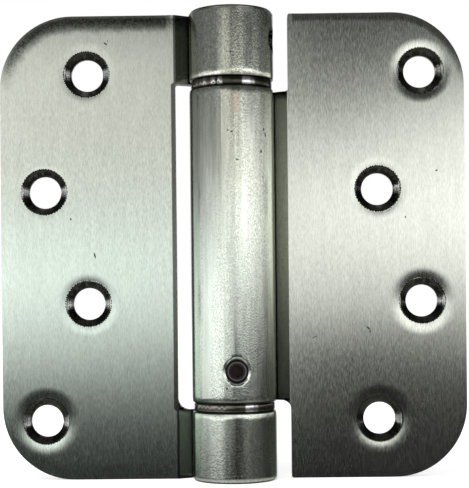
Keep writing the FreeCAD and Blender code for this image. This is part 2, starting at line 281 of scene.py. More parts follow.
def marks(tree, coordinates, places):
    """The deepest of several small marks, each given in millimetres."""
    deepest = None
    for place, direction, half_length, half_width in places:
        spot = place_group(tree, MARK, Coordinates=coordinates, Place=Vector(place) * MM,
                           Direction=Vector(direction).normalized(), Half_Length=half_length * MM,
                           Half_Width=half_width * MM)["Depth"]
        deepest = spot if deepest is None else math_node(tree, "MAXIMUM", deepest, spot)
    return deepest


# Finishes

def bump(tree, height, strength, distance, normal=None):
    node = tree.nodes.new("ShaderNodeBump")
    value_or_link(tree, node.inputs["Height"], height)
    node.inputs["Strength"].default_value = strength
    node.inputs["Distance"].default_value = distance
    if normal is not None:
        tree.links.new(normal, node.inputs["Normal"])
    return node.outputs["Normal"]


def pin_axis_tangent(tree):
    """The grain runs along the pin, so the tangent does too."""
    node = tree.nodes.new("ShaderNodeCombineXYZ")
    node.inputs["X"].default_value = 0.02
    node.inputs["Z"].default_value = 1.0
    return node.outputs["Vector"]


FRONT = FRONT_FACE / MM
LEAF_MARKS = [
    ((-27.5, FRONT, 44.7), (0.75, 0, -0.66), 0.5, 0.17),
    ((-27.0, FRONT, 45.3), (0.6, 0, 0.8), 0.18, 0.1),
    ((-35.5, FRONT, 6.3), (0, 0, 1), 0.26, 0.18),
    ((-30.3, FRONT, -1.7), (0.28, 0, -0.96), 0.7, 0.17),
    ((44.65, FRONT, 16.1), (1, 0, 0.3), 0.3, 0.16),
    ((37.75, FRONT, 6.0), (0, 0, 1), 0.2, 0.16),
    ((36.0, FRONT, -27.2), (1, 0, 0.4), 0.3, 0.18),
    ((29.4, FRONT, -18.2), (0.7, 0, -0.7), 0.6, 0.22),
    ((29.8, FRONT, -18.9), (0.2, 0, 1), 0.45, 0.16),
    ((17.75, FRONT, -20.0), (0.9, 0, 0.4), 0.8, 0.1),
    ((49.2, FRONT, -29.0), (0.7, 0, 0.7), 0.7, 0.08),
]
BARREL_MARKS = [
    ((0.0, -9.2, 40.7), (0, 0, 1), 0.25, 0.2),
    ((-0.7, -9.2, 24.1), (1, 0, 0), 0.2, 0.16),
    ((0.1, -9.2, 23.8), (1, 0, 0.3), 0.28, 0.2),
    ((6.9, -6.1, 24.6), (0.4, 0, -1), 0.45, 0.2),
    ((7.25, -5.7, 23.4), (0.3, 0, -1), 0.5, 0.22),
    ((6.3, -6.7, 19.8), (0.7, -0.5, 0.5), 0.75, 0.28),
    ((6.6, -6.4, 14.4), (0.7, -0.5, 0.4), 0.6, 0.16),
    ((1.2, -9.1, 17.9), (1, 0, -0.4), 0.35, 0.16),
    ((-1.45, -9.1, -30.6), (0, 0, 1), 0.3, 0.22),
]


PIN_HOLE_MOUTH = Vector((9.06, -1.6, 44.4)) * MM
SCREW_AXIS = Vector((SET_SCREW_PLACE.x, SET_SCREW_PLACE.y, 0)).normalized()
SCREW_HOLE_MOUTH = SCREW_AXIS * BARREL_RADIUS + Vector((0, 0, SET_SCREW_PLACE.z))


def painted_shade_along_top_edge(tree, x, z):
    """Painted shade along the upper edge of the frame leaf: a mottled dark band where the rolled-off edge faces up.
    """
    across = math_node(tree, "MAXIMUM", math_node(tree, "SUBTRACT", math_node(tree, "ABSOLUTE", x),
                                                  HALF_WIDTH - CORNER_RADIUS), 0.0)
    up = math_node(tree, "MAXIMUM", math_node(tree, "SUBTRACT", z, HALF_HEIGHT - CORNER_RADIUS), 0.0)
    out = math_node(tree, "SQRT", math_node(tree, "ADD", math_node(tree, "MULTIPLY", across, across),
                                            math_node(tree, "MULTIPLY", up, up)))
    inside = math_node(tree, "SUBTRACT", CORNER_RADIUS, out)
    spread = object_coordinates(tree)
    ragged = noise(tree, stretched(tree, spread, (700, 1, 500)), 1.0, 4.0, 0.7)
    lower_edge = map_range(tree, ragged, 0.3, 0.7, 2.2 * MM, 3.6 * MM, smooth=False)
    depth = math_node(tree, "DIVIDE", inside, lower_edge)
    band = math_node(tree, "MULTIPLY", map_range(tree, depth, 0.05, 0.3),
                     map_range(tree, depth, 0.35, 1.5, 1.0, 0.0))
    mottle = map_range(tree, noise(tree, spread, 2300.0, 3.0, 0.75), 0.38, 0.6)
    reached = math_node(tree, "MULTIPLY", map_range(tree, x, 0.0, -5 * MM),
                        map_range(tree, z, 33 * MM, 44 * MM))
    band = math_node(tree, "MULTIPLY", band, map_range(tree, mottle, 0.0, 1.0, 0.5, 1.0, smooth=False))
    return math_node(tree, "MULTIPLY", band, reached)


def leaf_steel():
    """Stainless sheet brushed along the pin, with painted shade in its bends, beside the barrel and along the frame
    leaf's upper edge.
    """
    material, tree, shader = new_material("brushed_stainless_sheet")
    place = object_coordinates(tree)
    x, y, z = separated(tree, place)
    across = math_node(tree, "ABSOLUTE", x)
    grain = place_group(tree, GRAIN, Coordinates=place)
    streaks = map_range(tree, grain["Fine"], 0.3, 0.7, 0.83, 1.17, smooth=False)
    bands = map_range(tree, grain["Broad"], 0.3, 0.7, 0.96, 1.04, smooth=False)
    base = place_group(tree, STEEL_COLOUR, Coordinates=place,
                       Streaks=math_node(tree, "MULTIPLY", streaks, bands))["Color"]
    # Painted shade: the door leaf's sloped strip inward of the bend corner is darkened to 0.3.
    crease = map_range(tree, across, BEND_CORNER - 0.12 * MM, BEND_CORNER + 0.05 * MM, 1.0, 0.0)
    on_frame_leaf = math_node(tree, "LESS_THAN", x, 0.0)
    base = darkened(tree, base, math_node(tree, "SUBTRACT", crease, on_frame_leaf), 0.3)
    # Painted shade: on the frame leaf the bend, and a little more of the strip beside the notch, is darkened to
    # 0.18.
    beside_notch = map_range(tree, math_node(tree, "ABSOLUTE", z), KNUCKLE_END - 0.3 * MM,
                             KNUCKLE_END + 0.3 * MM, 0.6 * MM, 0.0)
    into_bend = math_node(tree, "SUBTRACT", math_node(tree, "ADD", BEND_CORNER + 0.5 * MM, beside_notch),
                          across)
    frame_bend_shade = math_node(tree, "MAXIMUM", crease, map_range(tree, into_bend, -0.1 * MM, 0.15 * MM))
    base = darkened(tree, base, math_node(tree, "MULTIPLY", frame_bend_shade, on_frame_leaf), 0.18)
    # Painted shade: the slope's inner end, where it meets the barrel, is darkened to 0.1.
    corner = map_range(tree, across, 9.0 * MM, 9.9 * MM, 1.0, 0.0)
    base = darkened(tree, base, corner, 0.1)
    # Painted shade: a mottled dark band along the frame leaf's upper edge.
    base = darkened(tree, base, painted_shade_along_top_edge(tree, x, z), 0.16)
    dents = marks(tree, place, LEAF_MARKS)
    base = darkened(tree, base, dents, 0.12)
    tree.links.new(base, shader.inputs["Base Color"])
    shader.inputs["Metallic"].default_value = 1.0
    roughness = map_range(tree, grain["Fine"], 0.3, 0.7, 0.12, 0.165, smooth=False)
    tree.links.new(roughness, shader.inputs["Roughness"])
    shader.inputs["Anisotropic"].default_value = 0.75
    shader.inputs["Anisotropic Rotation"].default_value = 0.25
    tree.links.new(pin_axis_tangent(tree), shader.inputs["Tangent"])
    normal = bump(tree, grain["Fine"], 0.14, 0.01 * MM)
    normal = bump(tree, math_node(tree, "SUBTRACT", 1.0, dents), 0.8, 0.06 * MM, normal)
    tree.links.new(normal, shader.inputs["Normal"])
    return material


def barrel_steel():
    """The same sheet where it is rolled: streaked and pitted by the rolls, with a darker strip down its upper front,
    painted shade at its ends, beside the washers, on the lower knuckle's right and round the pin hole, and painted
    highlights under the top rim and below the screw hole.
    """
    material, tree, shader = new_material("rolled_barrel_steel")
    place = object_coordinates(tree)
    x, y, z = separated(tree, place)
    height = math_node(tree, "ABSOLUTE", z)
    streak = noise(tree, stretched(tree, place, (1500, 1500, 110)), 1.0, 4.0, 0.65)
    broad = noise(tree, stretched(tree, place, (380, 380, 30)), 1.0, 2.0, 0.5)
    speck = noise(tree, stretched(tree, place, (5200, 5200, 2600)), 1.0, 2.0, 0.7)
    mottle = noise(tree, stretched(tree, place, (2300, 2300, 1900)), 1.0, 3.0, 0.75)
    worked = map_range(tree, height, KNUCKLE_END - 14 * MM, KNUCKLE_END + 1 * MM)
    streak = blend_values(tree, math_node(tree, "MULTIPLY", worked, 0.65), streak, mottle)
    blotch = map_range(tree, mottle, 0.3, 0.7, 0.62, 1.3, smooth=False)
    blotch = blend_values(tree, math_node(tree, "MULTIPLY", worked,
                                          map_range(tree, z, -30 * MM, 30 * MM, 0.25, 0.9)), 1.0, blotch)
    shade = math_node(tree, "MULTIPLY", map_range(tree, streak, 0.3, 0.7, 1.0, 1.3, smooth=False),
                      map_range(tree, broad, 0.3, 0.7, 0.9, 1.12, smooth=False))
    pitted_side = map_range(tree, math_node(tree, "ADD", broad, math_node(tree, "MULTIPLY", x, 12.0)), 0.4,
                            0.56)
    shade = math_node(tree, "MULTIPLY", shade, blotch)
    pits = math_node(tree, "MULTIPLY", map_range(tree, speck, 0.42, 0.72, smooth=False),
                     map_range(tree, pitted_side, 0.0, 1.0, 0.35, 1.0, smooth=False))
    base = place_group(tree, STEEL_COLOUR, Coordinates=place, Streaks=shade)["Color"]
    base = darkened(tree, base, pits, 0.66)
    # A darker, slightly yellower strip down the barrel's front, between 5 and 22 mm up.
    darker_front_strip = math_node(tree, "MULTIPLY", window(tree, x, -1.7 * MM, 1.6 * MM, 0.9 * MM),
                     map_range(tree, z, 5 * MM, 22 * MM))
    base = mix_colour(tree, math_node(tree, "MULTIPLY", darker_front_strip, 0.8), base, (0.76, 0.75, 0.7, 1), "MULTIPLY")
    rust = marks(tree, place, [((1.0, -9.1, 29.9), (0, 0, 1), 2.6, 1.3)])
    rust = math_node(tree, "MULTIPLY", rust, map_range(tree, broad, 0.3, 0.6, 0.3, 0.5))
    base = mix_colour(tree, rust, base, (0.66, 0.52, 0.45, 1))
    dents = marks(tree, place, BARREL_MARKS)
    base = darkened(tree, base, dents, 0.12)
    # Painted shade: the barrel's outside is darkened to 0.12 within about half a millimetre of its top and bottom
    # ends.
    upper_rim = map_range(tree, z, HALF_HEIGHT - 0.55 * MM, HALF_HEIGHT - 0.25 * MM)
    lower_rim = map_range(tree, z, -HALF_HEIGHT + 0.25 * MM, -HALF_HEIGHT + 0.5 * MM, 1.0, 0.0)
    base = darkened(tree, base, math_node(tree, "MAXIMUM", upper_rim, lower_rim), 0.12)
    # Painted highlight: a bright patch just under the barrel's top rim, 2.2 to 4.2 mm right of the front.
    painted_rim_highlight = math_node(tree, "MULTIPLY", window(tree, x, 2.2 * MM, 4.2 * MM, 1.2 * MM),
                           window(tree, z, HALF_HEIGHT - 1.5 * MM, HALF_HEIGHT - 0.7 * MM, 0.5 * MM))
    base = mix_colour(tree, math_node(tree, "MULTIPLY", painted_rim_highlight, 0.8), base, (1.0, 1.0, 0.96, 1))
    # Painted shade: the right side of the lower knuckle is darkened to 0.9.
    lower_knuckle = math_node(tree, "MULTIPLY", map_range(tree, z, -KNUCKLE_END, -KNUCKLE_END - 2 * MM),
                              map_range(tree, x, -2.5 * MM, 1.0 * MM))
    base = darkened(tree, base, lower_knuckle, 0.9)
    # Painted shade: a dark ring round the mouth of the pin hole.
    pin_hole = vector_node(tree, "DISTANCE", place, PIN_HOLE_MOUTH)
    base = darkened(tree, base, map_range(tree, pin_hole, 2.75 * MM, 3.3 * MM, 1.0, 0.0), 0.1)
    from_screw = vector_node(tree, "DISTANCE", place, SCREW_HOLE_MOUTH)
    # Painted highlight: a bright crescent on the lower rim of the set screw's hole.
    screw_rim_highlight = math_node(tree, "MULTIPLY", map_range(tree, from_screw, 2.95 * MM, 2.65 * MM),
                          map_range(tree, z, SCREW_HOLE_MOUTH.z + 0.6 * MM, SCREW_HOLE_MOUTH.z - 0.4 * MM))
    base = mix_colour(tree, screw_rim_highlight, base, (0.97, 0.97, 0.95, 1))
    # Painted shade: the barrel is darkened to near black at its ends beside the washers, in the gaps.
    joint = window(tree, height, LONG_BARREL_END - 0.3 * MM, KNUCKLE_END + 0.1 * MM, 0.18 * MM)
    base = darkened(tree, base, joint, 0.05)
    tree.links.new(base, shader.inputs["Base Color"])
    shader.inputs["Metallic"].default_value = 1.0
    tree.links.new(map_range(tree, streak, 0.3, 0.7, 0.1, 0.17, smooth=False), shader.inputs["Roughness"])
    shader.inputs["Anisotropic"].default_value = 0.3
    shader.inputs["Anisotropic Rotation"].default_value = 0.25
    tree.links.new(pin_axis_tangent(tree), shader.inputs["Tangent"])
    normal = bump(tree, streak, 0.35, 0.025 * MM)
    normal = bump(tree, map_range(tree, from_screw, 2.4 * MM, 3.2 * MM), 1.0, 0.09 * MM, normal)
    hollows = math_node(tree, "MAXIMUM", math_node(tree, "MULTIPLY", pits, 0.2), dents)
    normal = bump(tree, math_node(tree, "SUBTRACT", 1.0, hollows), 0.7, 0.06 * MM, normal)
    tree.links.new(normal, shader.inputs["Normal"])
    return material


def countersink_steel():
    """Turned cones of the screw holes with fine tool rings, their darkness painted as shade, with glints beside the
    hole painted on as highlights.
    """
    material, tree, shader = new_material("countersunk_steel")
    place = object_coordinates(tree)
    x, y, z = separated(tree, place)

    def from_centre(value, near, far):
        """The distance from the nearer of two hole centres, away from the middle of the hinge."""
        size = math_node(tree, "ABSOLUTE", value)
        outer = math_node(tree, "GREATER_THAN", size, (near + far) / 2)
        return math_node(tree, "SUBTRACT", size, blend_values(tree, outer, near, far))
    out = from_centre(x, NEAR_COLUMN, FAR_COLUMN)
    up = from_centre(z, MIDDLE_ROW, END_ROW)
    reach = math_node(tree, "SQRT", math_node(tree, "ADD", math_node(tree, "MULTIPLY", out, out),
                                              math_node(tree, "MULTIPLY", up, up)))
    radial = tree.nodes.new("ShaderNodeCombineXYZ")
    tree.links.new(math_node(tree, "MULTIPLY", out, math_node(tree, "SIGN", x)), radial.inputs["X"])
    tree.links.new(math_node(tree, "MULTIPLY", up, math_node(tree, "SIGN", z)), radial.inputs["Z"])
    tree.links.new(vector_node(tree, "NORMALIZE", radial.outputs[0]), shader.inputs["Tangent"])
    rings_at = tree.nodes.new("ShaderNodeCombineXYZ")
    tree.links.new(math_node(tree, "MULTIPLY", reach, 7000.0), rings_at.inputs["X"])
    tree.links.new(math_node(tree, "MULTIPLY", x, 90.0), rings_at.inputs["Y"])
    tree.links.new(math_node(tree, "MULTIPLY", z, 90.0), rings_at.inputs["Z"])
    rings = noise(tree, rings_at.outputs[0], 1.0, 2.0)
    # Painted highlight: the cones are brightened level with the hole's centre, on both sides on the frame leaf and
    # on the outer side on the door leaf.
    level_with_centre = map_range(tree, math_node(tree, "DIVIDE", math_node(tree, "ABSOLUTE", up), reach),
                                  0.08, 0.36, 1.0, 0.0)
    lit_side = math_node(tree, "MAXIMUM", math_node(tree, "LESS_THAN", x, 0.0),
                         math_node(tree, "GREATER_THAN", out, 0.0))
    painted_glint = math_node(tree, "MULTIPLY", math_node(tree, "MULTIPLY", level_with_centre, lit_side),
                      map_range(tree, rings, 0.35, 0.6, 0.15, 1.0))
    # Painted shade: the cones' colour is near black, with faint rings.
    colour = mix_colour(tree, rings, (0.022, 0.022, 0.018, 1), (0.085, 0.085, 0.07, 1))
    tree.links.new(mix_colour(tree, painted_glint, colour, (0.95, 0.95, 0.93, 1)), shader.inputs["Base Color"])
    tree.links.new(map_range(tree, painted_glint, 0.0, 1.0, 0.2, 0.42), shader.inputs["Roughness"])
    tree.links.new(bump(tree, rings, 0.5, 0.03 * MM), shader.inputs["Normal"])
    shader.inputs["Anisotropic"].default_value = 0.7
    shader.inputs["Metallic"].default_value = 1.0
    return material


def sheared_steel():
    """The stamped edges of the sheet, rough and dark beside the brushed flats."""
    material, tree, shader = new_material("sheared_edge_steel")
    place = object_coordinates(tree)
    torn = noise(tree, stretched(tree, place, (1800, 500, 1800)), 1.0, 3.0, 0.6)
    colour = mix_colour(tree, torn, (0.09, 0.09, 0.08, 1), (0.30, 0.30, 0.28, 1))
    tree.links.new(colour, shader.inputs["Base Color"])
    tree.links.new(map_range(tree, torn, 0.3, 0.7, 0.3, 0.5), shader.inputs["Roughness"])
    tree.links.new(bump(tree, torn, 0.5, 0.03 * MM), shader.inputs["Normal"])
    shader.inputs["Metallic"].default_value = 1.0
    return material


# Painted highlights on the washers: from and to along x in millimetres, and strength.
WASHER_HIGHLIGHTS = [(-5.85, -5.45, 0.5), (-4.0, -3.55, 0.7), (-2.6, -2.1, 0.75), (2.7, 4.0, 1.0), (4.0, 4.8, 0.45)]


def polished_steel():
    """Washer steel: dark, with highlights painted on as bright patches at the front, and worn bright patches behind.
    """
    material, tree, shader = new_material("washer_steel_highlights_and_wear")
    place = object_coordinates(tree)
    x, y, z = separated(tree, place)
    highlights_and_wear = None
    # Painted highlights at the front, joined further down by worn bright patches behind.
    for start, end, strength in WASHER_HIGHLIGHTS:
        highlight_patch = math_node(tree, "MULTIPLY", window(tree, x, start * MM, end * MM, 0.5 * MM), strength)
        highlights_and_wear = highlight_patch if highlights_and_wear is None else math_node(tree, "MAXIMUM", highlights_and_wear, highlight_patch)
    upper_or_right = math_node(tree, "MAXIMUM", math_node(tree, "GREATER_THAN", z, 0.0),
                               math_node(tree, "GREATER_THAN", x, 0.0))
    highlights_and_wear = math_node(tree, "MULTIPLY", highlights_and_wear,
                       math_node(tree, "MULTIPLY", upper_or_right, map_range(tree, y, -4 * MM, -6 * MM)))
    across_rim = map_range(tree, math_node(tree, "ABSOLUTE", z), LONG_BARREL_END + 0.9 * MM,
                           KNUCKLE_END - 0.2 * MM, 0.9, 0.6)
    highlights_and_wear = math_node(tree, "MULTIPLY", highlights_and_wear, across_rim)
    behind = noise(tree, stretched(tree, place, (330, 330, 60)), 1.0, 2.0, 0.6)
    behind = math_node(tree, "MULTIPLY", map_range(tree, behind, 0.52, 0.66),
                       map_range(tree, y, -2 * MM, 2 * MM))
    highlights_and_wear = math_node(tree, "MAXIMUM", highlights_and_wear, behind)
    on_lower = math_node(tree, "LESS_THAN", z, 0.0)
    # Painted light: the washers are painted lighter grey on their left side, a little further right on the lower
    # washer.
    grey_side = map_range(tree, math_node(tree, "SUBTRACT", x,
                                          math_node(tree, "MULTIPLY", on_lower, 3.5 * MM)), -3 * MM, -6 * MM)
    dark = mix_colour(tree, on_lower, (0.06, 0.062, 0.045, 1), (0.11, 0.105, 0.08, 1))
    dark = mix_colour(tree, grey_side, dark, (0.26, 0.245, 0.22, 1))
    colour = mix_colour(tree, highlights_and_wear, dark, (0.94, 0.94, 0.90, 1))
    tree.links.new(colour, shader.inputs["Base Color"])
    wear = noise(tree, stretched(tree, place, (300, 300, 3500)), 1.0, 3.0)
    tree.links.new(map_range(tree, wear, 0.3, 0.7, 0.12, 0.24), shader.inputs["Roughness"])
    tree.links.new(bump(tree, wear, 0.2, 0.03 * MM), shader.inputs["Normal"])
    shader.inputs["Metallic"].default_value = 1.0
    return material


def turned_steel():
    material, tree, shader = new_material("turned_steel")
    place = object_coordinates(tree)
    rings = noise(tree, stretched(tree, place, (60, 60, 5000)), 1.0, 2.0)
    tree.links.new(bump(tree, rings, 0.3, 0.02 * MM), shader.inputs["Normal"])
    tree.links.new(map_range(tree, rings, 0.3, 0.7, 0.3, 0.42), shader.inputs["Roughness"])
    shader.inputs["Base Color"].default_value = (0.42, 0.42, 0.40, 1)
    shader.inputs["Metallic"].default_value = 1.0
    return material


def spring_steel():
    material, tree, shader = new_material("oiled_spring_wire")
    place = object_coordinates(tree)
    scale_marks = noise(tree, place, 900.0, 4.0, 0.6)
    colour = mix_colour(tree, scale_marks, (0.16, 0.15, 0.14, 1), (0.32, 0.31, 0.29, 1))
    tree.links.new(colour, shader.inputs["Base Color"])
    tree.links.new(map_range(tree, scale_marks, 0.3, 0.7, 0.25, 0.45), shader.inputs["Roughness"])
    shader.inputs["Metallic"].default_value = 1.0
    return material


def black_oxide():
    material, tree, shader = new_material("black_oxide_screw")
    place = object_coordinates(tree)
    x, y, z = separated(tree, place)
    up = math_node(tree, "SUBTRACT", z, SET_SCREW_PLACE.z)
    sideways = vector_node(tree, "DOT_PRODUCT", place, Vector((-SCREW_AXIS.y, SCREW_AXIS.x, 0)))
    squares = math_node(tree, "ADD", math_node(tree, "MULTIPLY", sideways, sideways),
                        math_node(tree, "MULTIPLY", up, up))
    reach = math_node(tree, "SQRT", squares)
    grains = noise(tree, place, 4000.0, 3.0)
    colour = mix_colour(tree, grains, (0.008, 0.008, 0.008, 1), (0.035, 0.035, 0.034, 1))
    colour = mix_colour(tree, window(tree, reach, 1.85 * MM, 1.93 * MM, 0.12 * MM), colour,
                        (0.15, 0.15, 0.14, 1))
    colour = mix_colour(tree, map_range(tree, reach, 1.5 * MM, 1.3 * MM), colour, (0.028, 0.016, 0.015, 1))
    tree.links.new(colour, shader.inputs["Base Color"])
    tree.links.new(map_range(tree, grains, 0.3, 0.7, 0.28, 0.5), shader.inputs["Roughness"])
    shader.inputs["Metallic"].default_value = 0.6
    return material


def nylon():
    material, tree, shader = new_material("natural_nylon")
    place = object_coordinates(tree)
    mottle = noise(tree, place, 1500.0, 3.0)
    colour = mix_colour(tree, mottle, (0.74, 0.73, 0.67, 1), (0.81, 0.80, 0.75, 1))
    tree.links.new(colour, shader.inputs["Base Color"])
    tree.links.new(bump(tree, mottle, 0.2, 0.02 * MM), shader.inputs["Normal"])
    shader.inputs["Roughness"].default_value = 0.45
    shader.inputs["Subsurface Weight"].default_value = 0.15
    return material


LEAF_STEEL = leaf_steel()
BARREL_STEEL = barrel_steel()
COUNTERSINK_STEEL = countersink_steel()
SHEARED_STEEL = sheared_steel()
POLISHED_STEEL = polished_steel()
TURNED_STEEL = turned_steel()
SPRING_STEEL = spring_steel()
BLACK_OXIDE = black_oxide()
NYLON = nylon()


# Pieces

def eased_edges(piece, width, angle):
    """Small rounded edges that catch the light, and even shading over the flats."""
    eased = piece.modifiers.new("eased", "BEVEL")
    eased.width = width
    eased.segments = 2
    eased.limit_method = "ANGLE"
    eased.angle_limit = math.radians(angle)
    eased.harden_normals = True
    even = piece.modifiers.new("even", "WEIGHTED_NORMAL")
    even.keep_sharp = True


def give_finish(piece, material, edge_width):
    """A piece that keeps its CAD shape gets its finish and slightly eased edges."""
    piece.data.materials.clear()
    piece.data.materials.append(material)
    piece.data.shade_smooth()
    weld = piece.modifiers.new("joined", "WELD")
    weld.merge_threshold = 0.001 * MM
    eased_edges(piece, edge_width, 35)


for name, material, edge_width in (
    ("upper_thrust_washer", POLISHED_STEEL, 0.4 * MM),
    ("lower_thrust_washer", POLISHED_STEEL, 0.4 * MM),
    ("upper_bearing_sleeve", NYLON, 0.15 * MM),
    ("lower_bearing_sleeve", NYLON, 0.15 * MM),
    ("tension_adjuster", TURNED_STEEL, 0.12 * MM),
    ("spring_anchor", TURNED_STEEL, 0.12 * MM),
    ("set_screw", BLACK_OXIDE, 0.12 * MM),
):
    give_finish(nodes[name], material, edge_width)


def twisting_spring():
    """The spring's own shape, a finished copy that stands in for the imported spring."""
    piece = bpy.data.objects.new("torsion_spring_coil", nodes["torsion_spring"].data.copy())
    bpy.context.scene.collection.objects.link(piece)
    give_finish(piece, SPRING_STEEL, 0.12 * MM)
    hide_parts("torsion_spring")
    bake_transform(piece)


twisting_spring()


# The two leaves: the punch drew the sheet down round each hole, and the outline is rolled off

CELL = 1.2 * MM
FRAME_DISHES = [(0.04, 1.9), (0.02, 1.3), (0.06, 2.0), (0.1, 2.6)]
DOOR_DISHES = [(0.085, 2.1), (0.055, 2.0), (0.1, 2.5), (0.11, 2.7)]
FRAME_ROLL_OFF = (0.13, 3.7)
DOOR_ROLL_OFF = (0.08, 1.8)


def inside_outline(x, z):
    """How far a point of a leaf lies inside its outer outline."""
    across = HALF_WIDTH - abs(x)
    up = HALF_HEIGHT - abs(z)
    if across < CORNER_RADIUS and up < CORNER_RADIUS:
        return CORNER_RADIUS - math.hypot(CORNER_RADIUS - across, CORNER_RADIUS - up)
    return min(across, up)


def fading(value, low, high):
    share = min(max((value - low) / (high - low), 0.0), 1.0)
    return share * share * (3 - 2 * share)


def sunk(x, z, holes, dishes, roll_off):
    """How far the front face lies behind its plane: dished at the holes and rolled off at the outline."""
    depth = 0.0
    for (hole_x, hole_z), (dish_depth, dish_reach) in zip(holes, dishes):
        past_rim = max(math.hypot(x - hole_x, z - hole_z) - HOLE_RADIUS, 0.0)
        share = max(1 - past_rim / (dish_reach * MM), 0.0)
        depth = max(depth, dish_depth * MM * share * share)
    drop, reach = roll_off
    ragged = 1 + 0.07 * noise_field.noise(Vector((x * 420, 0, z * 420)))
    share = max(1 - inside_outline(x, z) / (reach * MM * ragged), 0.0)
    upper = 0.3 + 0.7 * fading(z, 0.6 * HALF_HEIGHT, 0.85 * HALF_HEIGHT)
    flat_share = fading(abs(x), BEND_START, BEND_START + 1 * MM)
    return depth + drop * MM * share ** 2 * upper * flat_share


def sharper_bend(point):
    """The sheet turns at a crisp corner, where the source has a round bend."""
    across = abs(point.x)
    from_centre = math.hypot(across - BEND_START, point.y - (FRONT_FACE + BEND_RADIUS))
    if not (BEND_START - BEND_RADIUS * math.sin(BEND_ANGLE) < across < BEND_START):
        return point.y
    if abs(from_centre - BEND_RADIUS) > 0.06 * MM:
        return point.y
    past_corner = max(BEND_CORNER - across, 0.0)
    return FRONT_FACE + past_corner * math.tan(BEND_ANGLE)


def lip_radius(from_end, reach):
    """The barrel's outside near an end: turned in gently over the reach, then rounded over."""
    gentle = max(1 - from_end / reach, 0.0)
    tight = max(1 - from_end / (0.3 * MM), 0.0)
    return BARREL_RADIUS - 0.09 * reach * gentle ** 1.35 - 0.3 * MM * tight * tight


def turned_in_lip(point, ends):
    """Moves a point of the barrel's outside onto the rounded lip."""
    radius = math.hypot(point.x, point.y)
    from_end = min(abs(point.z - end) for end in ends)
    if radius < BARREL_RADIUS - 0.62 * MM or radius > BARREL_RADIUS + 0.01 * MM or from_end > 1.5 * MM:
        return
    uneven = noise_field.noise(Vector((point.x * 330, point.y * 330, point.z * 20)))
    share = lip_radius(from_end, (1.25 + 0.45 * uneven) * MM) / radius
    point.x *= share
    point.y *= share


def leaf_face_kind(face, holes):
    """Which finish a face of a leaf has, as its place in LEAF_FINISHES."""
    place = face.calc_center_median()
    for hole_x, hole_z in holes:
        if math.hypot(place.x - hole_x, place.z - hole_z) < HOLE_RADIUS and abs(face.normal.y) < 0.97:
            return 1
    if abs(face.normal.z) > 0.9 or (abs(face.normal.y) < 0.3 and abs(place.x) > BEND_START - 1.5 * MM):
        return 2
    if all(math.hypot(point.co.x, point.co.y) < BARREL_RADIUS + 0.05 * MM for point in face.verts):
        return 3
    return 0


LIP_CUTS = (0.08, 0.16, 0.3, 0.55, 0.8, 1.15, 1.5)


def sharp_edges(shape, holes, of_outline):
    """The mesh's sharp edges, either those of the leaf's outline or all the others."""
    found = []
    for edge in shape.edges:
        if len(edge.link_faces) != 2 or edge.calc_face_angle() < math.radians(35):
            continue
        kinds = {leaf_face_kind(face, holes) for face in edge.link_faces}
        on_flat = all(abs(point.co.x) > BEND_START - 1.5 * MM for point in edge.verts)
        if (2 in kinds and 0 in kinds and on_flat) == of_outline:
            found.append(edge)
    return found


RINGS = (0.12, 0.3, 0.55, 0.85, 1.2, 1.6, 2.1, 2.7)
ROWS_INWARD = (0.45, 0.7, 1.0, 1.4, 1.8, 2.2, 2.6, 3.0, 3.4, 3.8, 4.3)
CONE_SLOPE = math.radians(41)


def front_points(side, holes):
    """Points for the front face: rings round the holes, rows along the outline and an even spread between."""
    found = []
    for hole_x, hole_z in holes:
        for ring, outward in enumerate(RINGS):
            radius = HOLE_RADIUS + (0.09 + outward) * MM
            for step in range(64):
                angle = math.pi * (2 * step + ring % 2) / 64
                found.append((hole_x + radius * math.cos(angle), hole_z + radius * math.sin(angle)))
    found = [(x, z) for x, z in found if inside_outline(x, z) > 0.4 * MM]

    def clear_of_holes(x, z):
        return all(math.hypot(x - hole_x, z - hole_z) > HOLE_RADIUS + 3.1 * MM for hole_x, hole_z in holes)
    rows = []
    for inward in ROWS_INWARD:
        straight_x = HALF_WIDTH - CORNER_RADIUS
        straight_z = HALF_HEIGHT - CORNER_RADIUS
        for step in range(-40, 41):
            rows.append((HALF_WIDTH - inward * MM, step * straight_z / 40))
        for end in (1, -1):
            for step in range(1, 24):
                rows.append((BEND_START + (straight_x - BEND_START) * step / 24,
                             end * (HALF_HEIGHT - inward * MM)))
            for step in range(32):
                angle = math.pi / 2 * (step + 0.5) / 32
                arc = CORNER_RADIUS - inward * MM
                rows.append((straight_x + arc * math.sin(angle), end * (straight_z + arc * math.cos(angle))))
    found += [(side * x, z) for x, z in rows if clear_of_holes(side * x, z)]
    for row in range(-36, 37):
        for column in range(1, 26):
            x = side * (BEND_START + (column + 0.5 * (row % 2)) * 1.4 * MM)
            z = row * 1.35 * MM
            if clear_of_holes(x, z) and inside_outline(x, z) > 4.9 * MM:
                found.append((x, z))
    return found


